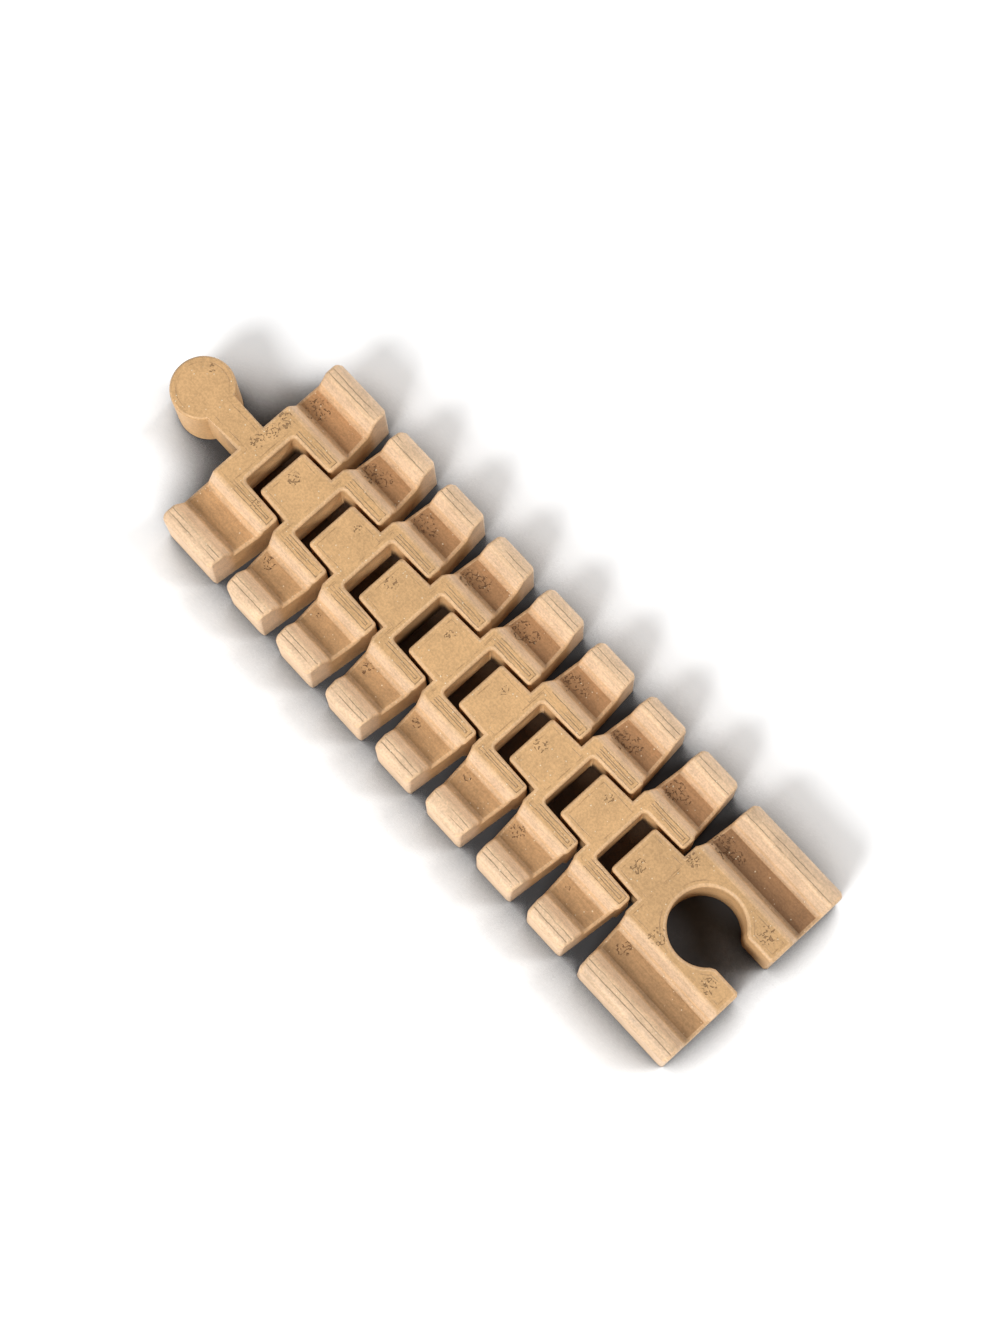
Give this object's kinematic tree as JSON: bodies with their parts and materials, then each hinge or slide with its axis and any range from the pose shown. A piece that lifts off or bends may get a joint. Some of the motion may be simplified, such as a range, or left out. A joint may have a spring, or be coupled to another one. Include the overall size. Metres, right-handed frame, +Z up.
{
  "type": "flexible toy railway track",
  "caption": "Flexible toy railway track section: a row of hinged links with two wheel grooves, a round peg at one end and a keyhole socket at the other, for bending into curves.",
  "frame": {"origin": "middle of the underside of the whole track, on the surface it lies on", "axes": "+X along the track towards the peg, +Y to the left rail seen from behind the socket, +Z up"},
  "size_m": [0.1406, 0.04, 0.012],
  "materials": {
    "wood_filled_plastic": "matt wood-filled plastic, printed in fine layers"
  },
  "bodies": {
    "peg_link": {"peg_link": "wood_filled_plastic"},
    "middle_link_1": {"middle_link_1": "wood_filled_plastic"},
    "middle_link_2": {"middle_link_2": "wood_filled_plastic"},
    "middle_link_3": {"middle_link_3": "wood_filled_plastic"},
    "middle_link_4": {"middle_link_4": "wood_filled_plastic"},
    "middle_link_5": {"middle_link_5": "wood_filled_plastic"},
    "middle_link_6": {"middle_link_6": "wood_filled_plastic"},
    "middle_link_7": {"middle_link_7": "wood_filled_plastic"},
    "socket_link": {"socket_link": "wood_filled_plastic"}
  },
  "joints": [
    {"name": "swivel_1", "type": "hinge", "parent": "peg_link", "child": "middle_link_1", "pos_m": [0.04135, 0, 0.006], "axis": [0, 0, 1], "range_deg": [-6, 6]},
    {"name": "swivel_2", "type": "hinge", "parent": "middle_link_1", "child": "middle_link_2", "pos_m": [0.02905, 0, 0.006], "axis": [0, 0, 1], "range_deg": [-6, 6]},
    {"name": "swivel_3", "type": "hinge", "parent": "middle_link_2", "child": "middle_link_3", "pos_m": [0.01675, 0, 0.006], "axis": [0, 0, 1], "range_deg": [-6, 6]},
    {"name": "swivel_4", "type": "hinge", "parent": "middle_link_3", "child": "middle_link_4", "pos_m": [0.00445, 0, 0.006], "axis": [0, 0, 1], "range_deg": [-6, 6]},
    {"name": "swivel_5", "type": "hinge", "parent": "middle_link_4", "child": "middle_link_5", "pos_m": [-0.00785, 0, 0.006], "axis": [0, 0, 1], "range_deg": [-6, 6]},
    {"name": "swivel_6", "type": "hinge", "parent": "middle_link_5", "child": "middle_link_6", "pos_m": [-0.02015, 0, 0.006], "axis": [0, 0, 1], "range_deg": [-6, 6]},
    {"name": "swivel_7", "type": "hinge", "parent": "middle_link_6", "child": "middle_link_7", "pos_m": [-0.03245, 0, 0.006], "axis": [0, 0, 1], "range_deg": [-6, 6]},
    {"name": "swivel_8", "type": "hinge", "parent": "middle_link_7", "child": "socket_link", "pos_m": [-0.04475, 0, 0.006], "axis": [0, 0, 1], "range_deg": [-6, 6]}
  ]
}
